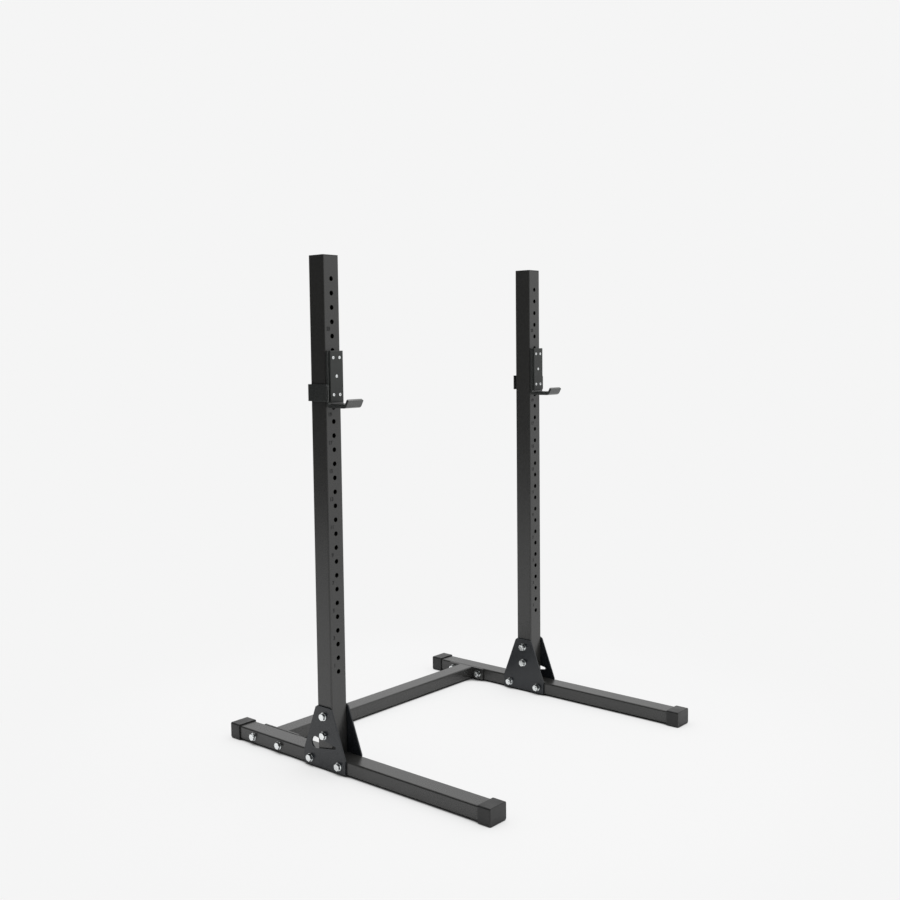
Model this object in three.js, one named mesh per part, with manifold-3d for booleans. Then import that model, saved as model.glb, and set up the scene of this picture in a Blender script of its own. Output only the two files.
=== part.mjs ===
// Squat stand: two side frames bolted to a rear crossmember, with one bar hook on each upright.
// Millimetres, +Z up, front towards -Y, the stand's own left at -X as seen from the front.
// The origin is on the floor under the middle of the stand.

import * as THREE from "three";
import { mergeVertices } from "three/addons/utils/BufferGeometryUtils.js";
import Module from "manifold-3d";

const wasm = await Module();
wasm.setup();

// Whole stand
const standHeight = 1845;
const footSpan = 1300; // front to back over the rubber caps
const sideSpacing = 1196; // between the middles of the two side frames
const crossmemberInset = 207; // from the rear end of a foot to the middle of the crossmember
const uprightLead = 330.5; // from the middle of the crossmember forward to the middle of the uprights

// Clearances and cuts
const fitGap = 0.3; // between pieces that sit in or slide on each other
const boltClearance = 0.5; // all round a bolt or a peg in its hole
const cutOverrun = 2; // how far a cut runs past the face that it opens

// Tubes
const tubeWidth = 75; // across the stand: uprights and feet
const uprightDepth = 75;
const footHeight = 50;
const tubeWall = 3;
const tubeCorner = 6;

// Peg holes in the front wall of the uprights
const pegDiameter = 16;
const holePitch = 50;
const lowestHole = 362; // above the floor
const topHoleMargin = 83; // least distance from the top hole to the top of the stand

// Rubber foot caps
const capWall = 5;
const capSole = 7; // under the foot
const capReach = 52;
const capCorner = 8;

// Upright top caps
const topCapThickness = 3;
const topCapPlug = 12;

// Gusset plates
const gussetThickness = 6;
const gussetRise = 177; // above the top of the foot
const gussetTopWidth = 80;
const gussetBaseWidth = 215;
const gussetShoulder = 3; // how far its upright ends reach above the foot
const gussetClip = 7;
const slotLength = 126;
const slotEnd = 66; // from the middle of the upright to the slot's rear end
const slotRearDiameter = 44;
const slotFrontDiameter = 10;
const slotRise = 38;

// Crossmember
const crossmemberDepth = 70;
const flangeLength = 200;
const flangeThickness = 8;
const drainDiameter = 8;
const drainInset = 60; // from each flange

// Bolts and nuts
const boltDiameter = 16;
const headAcrossFlats = 24;
const headHeight = 10;
const nutHeight = 14;
const boltEnd = 4; // how far a bolt stands out of its nut
const washerDiameter = 30;
const washerThickness = 3;
const uprightBoltRise = 72; // lower bolt above the top of the foot
const uprightBoltPitch = 70;
const footBoltInset = 33.5; // from each end of a gusset's base
const flangeBoltInset = 26; // from each end of a flange

// Bar hooks: measured from the middle of the upright and from the peg
const hookHole = 21; // the peg's hole, counted from the lowest
const hookInset = 0.5; // from each side face of the upright to the hook plate's side
const hookWidth = tubeWidth - 2 * hookInset;
const hookThickness = 10;
const hookAbove = 149;
const hookBelow = 50.5;
const hookReach = 96;
const hookBend = 6; // inside radius of both bends
const lipLength = 31;
const lipAngle = 61.5; // degrees up from the arm
const earHeight = 56;
const pegEngagement = 6; // how far the peg reaches into the upright

// Hook yoke
const yokeThickness = 5;
const yokeHeight = 60;
const yokeRise = 2; // its middle above the peg
const yokeSideGap = 1;
const yokeRearGap = 7; // lets the peg out of its hole
const yokeForward = 11; // in front of the upright's face
const yokeBend = 2;

// Hook liners and the pad between the hook plate and the upright
const linerInset = 6; // from each side of the hook plate to the liners
const linerWidth = hookWidth - 2 * linerInset;
const backLinerThickness = 7;
const backLinerBelow = 31;
const armLinerThickness = 4;
const armLinerLength = 68;
const linerClip = 1.5;
const padThickness = 3;
const padBelow = 34;

// Liner screws
const screwDiameter = 6;
const screwHeadDiameter = 12;
const screwHeadHeight = 3.5;
const screwRecess = 0.5; // below the face of the liner
const screwGrip = 12;
const screwSpread = 30;
const screwRowTop = 125;
const screwRowMiddle = 60;
const screwRowBottom = -5;

// Facets: an arc has twice as many sides as segments
const cornerSegments = 2;
const roundSegments = 6;
const screwSegments = 5;
const countTolerance = 0.01;

// Levels and places that follow from the sizes above
const footBottom = capSole;
const footMiddle = footBottom + footHeight / 2;
const footTop = footBottom + footHeight;
const uprightTop = standHeight - topCapThickness;
const crossmemberY = footSpan / 2 - crossmemberInset;
const uprightY = crossmemberY - uprightLead;
const holeCount = 1 + Math.floor((standHeight - topHoleMargin - lowestHole) / holePitch + countTolerance);
const hookLevel = lowestHole + (hookHole - 1) * holePitch;
const pegHole = pegDiameter + 2 * boltClearance;
const boltHole = boltDiameter + 2 * boltClearance;

// Materials
const coat = { roughness: 0.5, metalness: 0.2 };
const uprightPaint = new THREE.MeshStandardMaterial({ color: 0x3d3d3c, ...coat });
const footPaint = new THREE.MeshStandardMaterial({ color: 0x474745, ...coat });
const gussetPaint = new THREE.MeshStandardMaterial({ color: 0x3a3c3e, ...coat });
const hookPaint = new THREE.MeshStandardMaterial({ color: 0x333534, ...coat });
const zinc = new THREE.MeshStandardMaterial({ color: 0xd0d4d4, roughness: 0.3, metalness: 1 });
const rubber = new THREE.MeshStandardMaterial({ color: 0x2c2c2c, roughness: 0.85, metalness: 0 });
const linerPlastic = new THREE.MeshStandardMaterial({ color: 0x3c3f3e, roughness: 0.6, metalness: 0 });

// Outlines are drawn flat and then drawn out along one axis of the stand
const xAxis = new THREE.Vector3(1, 0, 0);
const yAxis = new THREE.Vector3(0, 1, 0);
const zAxis = new THREE.Vector3(0, 0, 1);
const alongX = new THREE.Matrix4().makeBasis(yAxis, zAxis, xAxis); // outline in Y and Z
const alongY = new THREE.Matrix4().makeBasis(xAxis, zAxis, yAxis.clone().negate()); // outline in X and Z
const alongZ = new THREE.Matrix4(); // outline in X and Y

function extrude(outline, length, direction, segments = cornerSegments) {
  const settings = { depth: length, bevelEnabled: false, curveSegments: segments };
  const geometry = new THREE.ExtrudeGeometry(outline, settings);
  geometry.translate(0, 0, -length / 2);
  return geometry.applyMatrix4(direction);
}

function roundedRectangle(width, height, radius) {
  const outline = new THREE.Shape();
  const x = width / 2 - radius;
  const y = height / 2 - radius;
  outline.absarc(x, y, radius, 0, Math.PI / 2);
  outline.absarc(-x, y, radius, Math.PI / 2, Math.PI);
  outline.absarc(-x, -y, radius, Math.PI, 1.5 * Math.PI);
  outline.absarc(x, -y, radius, 1.5 * Math.PI, 2 * Math.PI);
  return outline;
}

function circle(diameter) {
  const outline = new THREE.Shape();
  outline.absarc(0, 0, diameter / 2, 0, 2 * Math.PI);
  return outline;
}

function hexagon(acrossFlats) {
  const radius = acrossFlats / Math.sqrt(3);
  const corners = [];
  for (let corner = 0; corner < 6; corner += 1) {
    const angle = (corner * Math.PI) / 3;
    corners.push(new THREE.Vector2(radius * Math.cos(angle), radius * Math.sin(angle)));
  }
  return new THREE.Shape(corners);
}

function tubeOutline(width, height) {
  const outline = roundedRectangle(width, height, tubeCorner);
  const bore = roundedRectangle(width - 2 * tubeWall, height - 2 * tubeWall, tubeCorner - tubeWall);
  outline.holes.push(bore);
  return outline;
}

// Joining and cutting
function toSolid(geometry) {
  const bare = geometry.clone();
  bare.deleteAttribute("normal");
  bare.deleteAttribute("uv");
  const merged = mergeVertices(bare);
  const vertProperties = new Float32Array(merged.attributes.position.array);
  const triVerts = new Uint32Array(merged.index.array);
  return new wasm.Manifold(new wasm.Mesh({ numProp: 3, vertProperties, triVerts }));
}

function toGeometry(solid) {
  const mesh = solid.getMesh();
  const geometry = new THREE.BufferGeometry();
  geometry.setAttribute("position", new THREE.BufferAttribute(mesh.vertProperties, 3));
  geometry.setIndex(new THREE.BufferAttribute(mesh.triVerts, 1));
  geometry.computeVertexNormals();
  return geometry;
}

function join(first, ...others) {
  return toGeometry(others.reduce((solid, other) => solid.add(toSolid(other)), toSolid(first)));
}

function cut(geometry, cutters) {
  return toGeometry(cutters.reduce((solid, cutter) => solid.subtract(toSolid(cutter)), toSolid(geometry)));
}

// A drill through a wall of the given thickness, centred on the given place
function drill(diameter, thickness, direction, x, y, z, segments = roundSegments) {
  return extrude(circle(diameter), thickness + 2 * cutOverrun, direction, segments).translate(x, y, z);
}

// Where the bolts of one side frame go: Y from the upright's middle or the crossmember's, Z from the floor
const uprightBoltLevel = footTop + uprightBoltRise;
const gussetSeat = tubeWidth / 2 + gussetThickness;
const footSeat = tubeWidth / 2;
const flangeSeat = tubeWidth / 2 + flangeThickness;
const uprightBolts = [
  { name: "upright_lower", y: 0, z: uprightBoltLevel },
  { name: "upright_upper", y: 0, z: uprightBoltLevel + uprightBoltPitch },
];
const footBoltReach = gussetBaseWidth / 2 - footBoltInset;
const footBolts = [
  { name: "foot_front", y: -footBoltReach, z: footMiddle },
  { name: "foot_rear", y: footBoltReach, z: footMiddle },
];
const flangeBoltReach = flangeLength / 2 - flangeBoltInset;
const flangeBolts = [
  { name: "crossmember_front", y: -flangeBoltReach, z: footMiddle },
  { name: "crossmember_rear", y: flangeBoltReach, z: footMiddle },
];

// Uprights: local to the side frame's middle plane
function uprightGeometry() {
  const length = uprightTop - footTop;
  const tube = extrude(tubeOutline(tubeWidth, uprightDepth), length, alongZ);
  tube.translate(0, 0, footTop + length / 2);
  const drills = uprightBolts.map((bolt) => drill(boltHole, tubeWidth, alongX, 0, bolt.y, bolt.z));
  const frontWall = (tubeWall - uprightDepth) / 2;
  for (let hole = 0; hole < holeCount; hole += 1) {
    drills.push(drill(pegHole, tubeWall, alongY, 0, frontWall, lowestHole + hole * holePitch));
  }
  return cut(tube, drills);
}

function topCapGeometry() {
  const lid = extrude(roundedRectangle(tubeWidth, uprightDepth, tubeCorner), topCapThickness, alongZ);
  lid.translate(0, 0, uprightTop + topCapThickness / 2);
  const bore = 2 * (tubeWall + fitGap);
  const plugLength = topCapPlug + topCapThickness;
  const plugOutline = roundedRectangle(tubeWidth - bore, uprightDepth - bore, tubeCorner - tubeWall);
  const plug = extrude(plugOutline, plugLength, alongZ);
  plug.translate(0, 0, standHeight - plugLength / 2);
  return join(lid, plug);
}

// Feet
function footTubeGeometry() {
  const length = footSpan - 2 * (capWall + fitGap);
  const tube = extrude(tubeOutline(tubeWidth, footHeight), length, alongY);
  tube.translate(0, 0, footMiddle);
  const drillAt = (bolt, middleY) => drill(boltHole, tubeWidth, alongX, 0, middleY + bolt.y, bolt.z);
  const gussetDrills = footBolts.map((bolt) => drillAt(bolt, uprightY));
  const flangeDrills = flangeBolts.map((bolt) => drillAt(bolt, crossmemberY));
  return cut(tube, [...gussetDrills, ...flangeDrills]);
}

function footCapGeometry(end) {
  const capHeight = capSole + footHeight + capWall;
  const outer = roundedRectangle(tubeWidth + 2 * capWall, capHeight, capCorner);
  const cap = extrude(outer, capReach, alongY);
  cap.translate(0, 0, capHeight / 2);
  const room = roundedRectangle(tubeWidth + 2 * fitGap, footHeight + 2 * fitGap, tubeCorner + fitGap);
  const cavity = extrude(room, capReach, alongY);
  cavity.translate(0, -end * capWall, footMiddle);
  return cut(cap, [cavity]);
}

// Gussets
function gussetOutline() {
  const top = footTop + gussetRise;
  const shoulder = footTop + gussetShoulder;
  const base = gussetBaseWidth / 2;
  const tip = gussetTopWidth / 2;
  const slope = (base - tip) / (top - shoulder);
  const clipY = tip + gussetClip * slope;
  const outline = new THREE.Shape();
  outline.moveTo(-base, footBottom);
  outline.lineTo(base, footBottom);
  outline.lineTo(base, shoulder);
  outline.lineTo(clipY, top - gussetClip);
  outline.lineTo(tip - gussetClip, top);
  outline.lineTo(gussetClip - tip, top);
  outline.lineTo(-clipY, top - gussetClip);
  outline.lineTo(-base, shoulder);
  return outline;
}

// The slot has a large rear end, a small front end and straight flanks that touch both
function slotOutline() {
  const rear = slotRearDiameter / 2;
  const front = slotFrontDiameter / 2;
  const flank = Math.PI - Math.acos((rear - front) / (slotLength - rear - front));
  const outline = new THREE.Shape();
  outline.absarc(slotEnd - rear, 0, rear, -flank, flank);
  outline.absarc(slotEnd - slotLength + front, 0, front, flank, 2 * Math.PI - flank);
  return outline;
}

function gussetGeometry(isOuter) {
  const plate = extrude(gussetOutline(), gussetThickness, alongX);
  const bolts = [...uprightBolts, ...footBolts];
  const cutters = bolts.map((bolt) => drill(boltHole, gussetThickness, alongX, 0, bolt.y, bolt.z));
  if (isOuter) {
    const length = gussetThickness + 2 * cutOverrun;
    const slot = extrude(slotOutline(), length, alongX, roundSegments);
    cutters.push(slot.translate(0, 0, footTop + slotRise));
  }
  return cut(plate, cutters);
}

// Crossmember with its welded flanges and two drain holes
function crossmemberGeometry() {
  const flangeFace = sideSpacing / 2 - tubeWidth / 2;
  const tubeEnd = flangeFace - flangeThickness;
  const tube = extrude(tubeOutline(crossmemberDepth, footHeight), 2 * tubeEnd, alongX);
  const flangeOutline = roundedRectangle(flangeLength, footHeight, tubeCorner);
  const flangeMiddle = flangeFace - flangeThickness / 2;
  const drainX = tubeEnd - drainInset;
  const drainZ = (tubeWall - footHeight) / 2;
  const flanges = [];
  const drills = [];
  for (const side of [-1, 1]) {
    const flange = extrude(flangeOutline, flangeThickness, alongX);
    flanges.push(flange.translate(side * flangeMiddle, 0, 0));
    for (const bolt of flangeBolts) {
      drills.push(drill(boltHole, flangeThickness, alongX, side * flangeMiddle, bolt.y, 0));
    }
    drills.push(drill(drainDiameter, tubeWall, alongZ, side * drainX, 0, drainZ));
  }
  return cut(join(tube, ...flanges), drills);
}

// Bolts and nuts, with their washers, lie along X with the head on the outboard side
function boltGeometry(side, headSeat, nutSeat) {
  const washer = extrude(circle(washerDiameter), washerThickness, alongX, roundSegments);
  washer.translate(side * (headSeat + washerThickness / 2), 0, 0);
  const headLength = washerThickness + headHeight;
  const head = extrude(hexagon(headAcrossFlats), headLength, alongX);
  head.translate(side * (headSeat + headLength / 2), 0, 0);
  const tip = nutSeat + washerThickness + nutHeight + boltEnd;
  const shankLength = headSeat + washerThickness + tip;
  const shank = extrude(circle(boltDiameter), shankLength, alongX, roundSegments);
  shank.translate(side * (headSeat + washerThickness - shankLength / 2), 0, 0);
  return join(washer, head, shank);
}

function nutGeometry(side, nutSeat) {
  const length = washerThickness + nutHeight;
  const middle = -side * (nutSeat + length / 2);
  const washer = extrude(circle(washerDiameter), washerThickness, alongX, roundSegments);
  washer.translate(-side * (nutSeat + washerThickness / 2), 0, 0);
  const nut = extrude(hexagon(headAcrossFlats), length, alongX);
  nut.translate(middle, 0, 0);
  const bore = drill(boltDiameter + 2 * fitGap, length, alongX, middle, 0, 0);
  return cut(join(washer, nut), [bore]);
}

// Hook plate: a strip bent to a J, seen from the side, with an ear for the yoke and
// the peg welded to its back
const padRear = -(uprightDepth / 2 + fitGap);
const hookRear = padRear - padThickness;
const hookFront = hookRear - hookThickness;
const linerFront = hookFront - backLinerThickness;
const armTop = hookThickness - hookBelow;
const yokeInner = tubeWidth / 2 + yokeSideGap;

function hookOutline() {
  const angle = THREE.MathUtils.degToRad(lipAngle);
  const outerBend = hookBend + hookThickness;
  const bendCentreZ = outerBend - hookBelow;
  const heelY = hookRear - outerBend;
  const toeY = hookRear - hookReach;
  const toeCentreY = toeY + outerBend * Math.tan(angle / 2);
  const lip = new THREE.Vector2(-Math.cos(angle), Math.sin(angle));
  const inward = new THREE.Vector2(Math.sin(angle), Math.cos(angle));
  const tip = new THREE.Vector2(toeY, -hookBelow).addScaledVector(lip, lipLength);
  const innerTip = tip.clone().addScaledVector(inward, hookThickness);
  const down = -Math.PI / 2;
  const outline = new THREE.Shape();
  outline.moveTo(hookRear, hookAbove);
  outline.absarc(heelY, bendCentreZ, outerBend, 0, down, true);
  outline.absarc(toeCentreY, bendCentreZ, outerBend, down, down - angle, true);
  outline.lineTo(tip.x, tip.y);
  outline.lineTo(innerTip.x, innerTip.y);
  outline.absarc(toeCentreY, bendCentreZ, hookBend, down - angle, down, false);
  outline.absarc(heelY, bendCentreZ, hookBend, down, 0, false);
  outline.lineTo(hookFront, hookAbove);
  return outline;
}

// Liner screws: places in X and Z from the peg
const screwPlaces = [
  { x: -screwSpread / 2, z: screwRowTop },
  { x: screwSpread / 2, z: screwRowTop },
  { x: 0, z: screwRowMiddle },
  { x: -screwSpread / 2, z: screwRowBottom },
  { x: screwSpread / 2, z: screwRowBottom },
];

function screwDrills(diameter, rear, front) {
  const bore = diameter + 2 * fitGap;
  const middle = (rear + front) / 2;
  return screwPlaces.map((spot) => drill(bore, rear - front, alongY, spot.x, middle, spot.z, screwSegments));
}

function hookPlateGeometry(side) {
  const strip = extrude(hookOutline(), hookWidth, alongX);
  const middleY = (hookRear + hookFront) / 2;
  const ear = new THREE.BoxGeometry(yokeInner, hookThickness, earHeight);
  ear.translate((side * yokeInner) / 2, middleY, 0);
  const pegLength = hookThickness / 2 + padThickness + fitGap + pegEngagement;
  const peg = extrude(circle(pegDiameter), pegLength, alongY, roundSegments);
  peg.translate(0, middleY + pegLength / 2, 0);
  return cut(join(strip, ear, peg), screwDrills(screwDiameter, hookRear, hookFront));
}

// Yoke: from beside the hook plate, along the upright's outboard face and round behind it.
// It is drawn for the right side, and half a turn about the Y axis makes the left one.
function yokeGeometry(side) {
  const outerX = yokeInner + yokeThickness;
  const frontY = -(uprightDepth / 2 + yokeForward);
  const innerY = uprightDepth / 2 + yokeRearGap;
  const outerY = innerY + yokeThickness;
  const freeX = -tubeWidth / 2;
  const outerBend = yokeBend + yokeThickness;
  const outline = new THREE.Shape();
  outline.moveTo(yokeInner, frontY);
  outline.lineTo(outerX, frontY);
  outline.absarc(outerX - outerBend, outerY - outerBend, outerBend, 0, Math.PI / 2, false);
  outline.lineTo(freeX, outerY);
  outline.lineTo(freeX, innerY);
  outline.absarc(yokeInner - yokeBend, innerY - yokeBend, yokeBend, Math.PI / 2, 0, true);
  const yoke = extrude(outline, yokeHeight, alongZ);
  const turned = side > 0 ? yoke : yoke.rotateY(Math.PI);
  return turned.translate(0, 0, yokeRise);
}

// Liners
function clippedBlock(width, thickness, length, direction) {
  const outline = new THREE.Shape();
  const x = width / 2;
  const y = thickness / 2;
  outline.moveTo(-x, y);
  outline.lineTo(-x, linerClip - y);
  outline.lineTo(linerClip - x, -y);
  outline.lineTo(x - linerClip, -y);
  outline.lineTo(x, linerClip - y);
  outline.lineTo(x, y);
  return extrude(outline, length, direction);
}

function backLinerGeometry() {
  const length = hookAbove + backLinerBelow;
  const liner = clippedBlock(linerWidth, backLinerThickness, length, alongZ);
  liner.translate(0, (hookFront + linerFront) / 2, hookAbove - length / 2);
  const holes = screwDrills(screwDiameter, hookFront, linerFront);
  const seat = linerFront + screwRecess + screwHeadHeight;
  const counterbores = screwDrills(screwHeadDiameter, seat - cutOverrun, linerFront);
  return cut(liner, [...holes, ...counterbores]);
}

function rearPadGeometry() {
  const length = hookAbove + padBelow;
  const middleY = (padRear + hookRear) / 2;
  const pad = new THREE.BoxGeometry(linerWidth, padThickness, length);
  pad.translate(0, middleY, hookAbove - length / 2);
  return cut(pad, [drill(pegDiameter + 2 * fitGap, padThickness, alongY, 0, middleY, 0)]);
}

function armLinerGeometry() {
  const liner = clippedBlock(linerWidth, armLinerThickness, armLinerLength, alongY);
  liner.rotateY(Math.PI);
  const start = hookRear - hookThickness - hookBend;
  return liner.translate(0, start - armLinerLength / 2, armTop + armLinerThickness / 2);
}

function screwGeometry() {
  const headFace = linerFront + screwRecess;
  const seat = headFace + screwHeadHeight;
  const head = extrude(circle(screwHeadDiameter), screwHeadHeight, alongY, screwSegments);
  head.translate(0, headFace + screwHeadHeight / 2, 0);
  const shankLength = screwHeadHeight + screwGrip;
  const shank = extrude(circle(screwDiameter), shankLength, alongY, screwSegments);
  shank.translate(0, seat + screwGrip - shankLength / 2, 0);
  return join(head, shank);
}

// Assembly
function place(group, name, geometry, material, x = 0, y = 0, z = 0) {
  const mesh = new THREE.Mesh(geometry, material);
  mesh.name = name;
  mesh.position.set(x, y, z);
  group.add(mesh);
}

function fasten(group, label, side, bolts, middleY, headSeat, nutSeat) {
  for (const bolt of bolts) {
    const y = middleY + bolt.y;
    place(group, `${label}_${bolt.name}_bolt`, boltGeometry(side, headSeat, nutSeat), zinc, 0, y, bolt.z);
    place(group, `${label}_${bolt.name}_nut`, nutGeometry(side, nutSeat), zinc, 0, y, bolt.z);
  }
}

function hookGroup(label, side) {
  const group = new THREE.Group();
  group.position.set(0, uprightY, hookLevel);
  place(group, `${label}_hook_plate`, hookPlateGeometry(side), hookPaint);
  place(group, `${label}_hook_yoke`, yokeGeometry(side), hookPaint);
  place(group, `${label}_hook_back_liner`, backLinerGeometry(), linerPlastic);
  place(group, `${label}_hook_arm_liner`, armLinerGeometry(), linerPlastic);
  place(group, `${label}_hook_rear_pad`, rearPadGeometry(), linerPlastic);
  screwPlaces.forEach((spot, index) => {
    place(group, `${label}_hook_screw_${index + 1}`, screwGeometry(), zinc, spot.x, 0, spot.z);
  });
  return group;
}

function sideFrame(label, side) {
  const group = new THREE.Group();
  group.position.x = (side * sideSpacing) / 2;
  const gussetX = side * (tubeWidth / 2 + gussetThickness / 2);
  const capY = footSpan / 2 - capReach / 2;
  place(group, `${label}_upright`, uprightGeometry(), uprightPaint, 0, uprightY);
  place(group, `${label}_upright_cap`, topCapGeometry(), rubber, 0, uprightY);
  place(group, `${label}_foot_tube`, footTubeGeometry(), footPaint);
  place(group, `${label}_front_foot_cap`, footCapGeometry(-1), rubber, 0, -capY);
  place(group, `${label}_rear_foot_cap`, footCapGeometry(1), rubber, 0, capY);
  place(group, `${label}_outer_gusset`, gussetGeometry(true), gussetPaint, gussetX, uprightY);
  place(group, `${label}_inner_gusset`, gussetGeometry(false), gussetPaint, -gussetX, uprightY);
  fasten(group, label, side, uprightBolts, uprightY, gussetSeat, gussetSeat);
  fasten(group, label, side, footBolts, uprightY, gussetSeat, gussetSeat);
  fasten(group, label, side, flangeBolts, crossmemberY, footSeat, flangeSeat);
  group.add(hookGroup(label, side));
  return group;
}

const stand = new THREE.Group();
stand.add(sideFrame("left", -1));
stand.add(sideFrame("right", 1));
place(stand, "rear_crossmember", crossmemberGeometry(), footPaint, 0, crossmemberY, footMiddle);

export default stand;
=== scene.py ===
"""Squat stand: the finished pieces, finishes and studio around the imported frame."""
import math

import bmesh
import bpy
from bpy.props import FloatProperty, FloatVectorProperty, IntProperty, PointerProperty
from mathutils import Matrix, Quaternion, Vector


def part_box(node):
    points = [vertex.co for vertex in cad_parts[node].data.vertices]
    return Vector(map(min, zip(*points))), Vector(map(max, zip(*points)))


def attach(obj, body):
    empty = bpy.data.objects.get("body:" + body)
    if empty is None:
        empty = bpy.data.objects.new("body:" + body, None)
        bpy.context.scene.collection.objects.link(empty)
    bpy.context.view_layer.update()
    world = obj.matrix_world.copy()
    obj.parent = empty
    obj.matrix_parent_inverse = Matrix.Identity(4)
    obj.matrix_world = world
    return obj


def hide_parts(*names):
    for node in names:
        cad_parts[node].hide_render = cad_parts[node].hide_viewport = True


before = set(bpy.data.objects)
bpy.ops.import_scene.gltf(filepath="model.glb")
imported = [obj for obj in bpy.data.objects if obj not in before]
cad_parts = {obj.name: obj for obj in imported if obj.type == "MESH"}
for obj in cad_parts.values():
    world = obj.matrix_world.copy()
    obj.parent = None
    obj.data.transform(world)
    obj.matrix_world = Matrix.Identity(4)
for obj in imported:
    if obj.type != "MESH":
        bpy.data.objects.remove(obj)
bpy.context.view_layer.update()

bl_info = {
    "name": "Squat stand",
    "version": (1, 0, 0),
    "blender": (4, 5, 0),
    "location": "View3D > Sidebar > Squat stand",
    "description": "Builds the finished pieces of a squat stand around its frame",
    "category": "Object",
}

MM = 0.001
NEAR = 0.1 * MM  # places closer than this count as the same
REACH = 1 * MM  # how far a cutter starts outside the piece that it cuts
ALIGNED = 0.999  # cosine from which on two directions count as the same
ACROSS_CORNERS = 2 / math.sqrt(3)  # how much wider a hexagon is there than across its flats
SIDES = {"left": -1, "right": 1}
UPRIGHT_BOLTS = ("upright_lower", "upright_upper")
FOOT_BOLTS = ("foot_front", "foot_rear")
FLANGE_BOLTS = ("crossmember_front", "crossmember_rear")
SCREWS = range(1, 6)
BODY = "frame"
X_AXIS, Y_AXIS, Z_AXIS = Vector((1, 0, 0)), Vector((0, 1, 0)), Vector((0, 0, 1))


def linear(hex_colour):
    """Linear RGBA of an sRGB hex colour."""
    channels = [int(hex_colour[start:start + 2], 16) / 255 for start in (1, 3, 5)]
    lit = [c / 12.92 if c <= 0.04045 else ((c + 0.055) / 1.055) ** 2.4 for c in channels]
    return (*lit, 1.0)


def length(millimetres, label, description):
    """A size that a user can change, given in millimetres and kept in metres."""
    return FloatProperty(
        name=label, description=description, default=millimetres * MM, min=0, unit="LENGTH"
    )


def degrees(angle, label, description):
    """An angle that a user can change, given in degrees."""
    return FloatProperty(
        name=label, description=description, default=math.radians(angle), subtype="ANGLE", unit="ROTATION"
    )


def factor(value, label, description):
    """A number without a unit that a user can change."""
    return FloatProperty(name=label, description=description, default=value, min=0)


def colour(hex_colour, label, description):
    """A colour that a user can change, given as sRGB hex."""
    return FloatVectorProperty(
        name=label, description=description, default=linear(hex_colour), size=4, min=0, max=1,
        subtype="COLOR",
    )


class TubeSizes(bpy.types.PropertyGroup):
    """Sizes of the square and rectangular tubes, their caps and their holes."""

    corner: length(6, "Corner radius", "Outside radius of the long edges of every tube")
    wall: length(3, "Wall", "Thickness of every tube's wall")
    edge: length(0.5, "Edge softness", "Radius of cut edges under the powder coat")
    peg_hole: length(17, "Peg hole", "Diameter of the holes down the front of the uprights")
    hole_pitch: length(50, "Hole pitch", "Distance between neighbouring peg holes")
    lowest_hole: length(362, "Lowest hole", "Height of the lowest peg hole above the floor")
    hole_count: IntProperty(
        name="Holes", description="Number of peg holes in each upright", default=29, min=1
    )
    bolt_hole: length(17, "Bolt hole", "Diameter of the holes for the large bolts")
    cap_lid: length(3, "Cap lid", "Thickness of the lid on top of each upright")
    cap_plug_gap: length(3.3, "Plug inset", "How far the cap's plug lies inside the tube's outside")
    last_number: IntProperty(
        name="Last number", description="Number of the highest numbered peg hole", default=25, min=1
    )
    number_height: length(12.5, "Number height", "Height of the numbers beside the peg holes")
    digit_share: factor(0.7, "Digit share", "Height of a digit as a share of its font's size")
    number_bold: length(0.9, "Number weight", "How much thicker than plain the numbers are drawn")
    number_rise: length(25, "Number rise", "Middle of a number above the middle of its hole")
    number_side: length(18, "Number shift", "Middle of a number to the left of its hole")
    number_relief: length(0.12, "Number relief", "How far the numbers stand off the face")
    drain: length(8, "Drain hole", "Diameter of the drain holes under the crossmember")
    drain_inset: length(60, "Drain inset", "Distance of a drain hole from its flange")


class FootCapSizes(bpy.types.PropertyGroup):
    """Sizes of the slip-over rubber caps on the feet."""

    wall: length(4.7, "Wall", "Thickness of the rubber around the foot tube")
    sole: length(6.7, "Sole", "Thickness of the rubber under the foot tube")
    room_corner: length(6.3, "Room corner", "Radius of the long edges inside the cap")
    top_corner: length(6, "Top corner", "Radius of the cap's upper long edges")
    sole_corner: length(8, "Sole corner", "Radius of the cap's lower long edges")
    end_corner: length(2.5, "End corner", "Radius around the cap's closed end")
    lip: length(0.8, "Lip", "Radius of the cap's open rim")


class PlateSizes(bpy.types.PropertyGroup):
    """Sizes of the gusset plates and of the crossmember's flanges."""

    shoulder: length(53, "Shoulder", "Height of a gusset's upright ends above its base")
    top_width: length(80, "Top width", "Width of a gusset at its top")
    clip: length(7, "Clipped corner", "Size of the clipped corners at a gusset's top")
    foot_corner: length(2, "Base corner", "Radius of a gusset's lower corners")
    slot_length: length(126, "Slot length", "Length of the slot in an outer gusset")
    slot_end: length(66, "Slot end", "From the middle of the gusset to the slot's rear end")
    slot_rear: length(44, "Slot rear", "Diameter of the slot's rear end")
    slot_front: length(10, "Slot front", "Diameter of the slot's front end")
    slot_rise: length(88, "Slot rise", "Middle of the slot above the gusset's base")
    edge: length(0.8, "Edge softness", "Radius of a plate's cut edges under the powder coat")
    flange: length(8, "Flange", "Thickness of the crossmember's flanges")
    flange_corner: length(5, "Flange corner", "Radius of a flange's corners")


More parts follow.
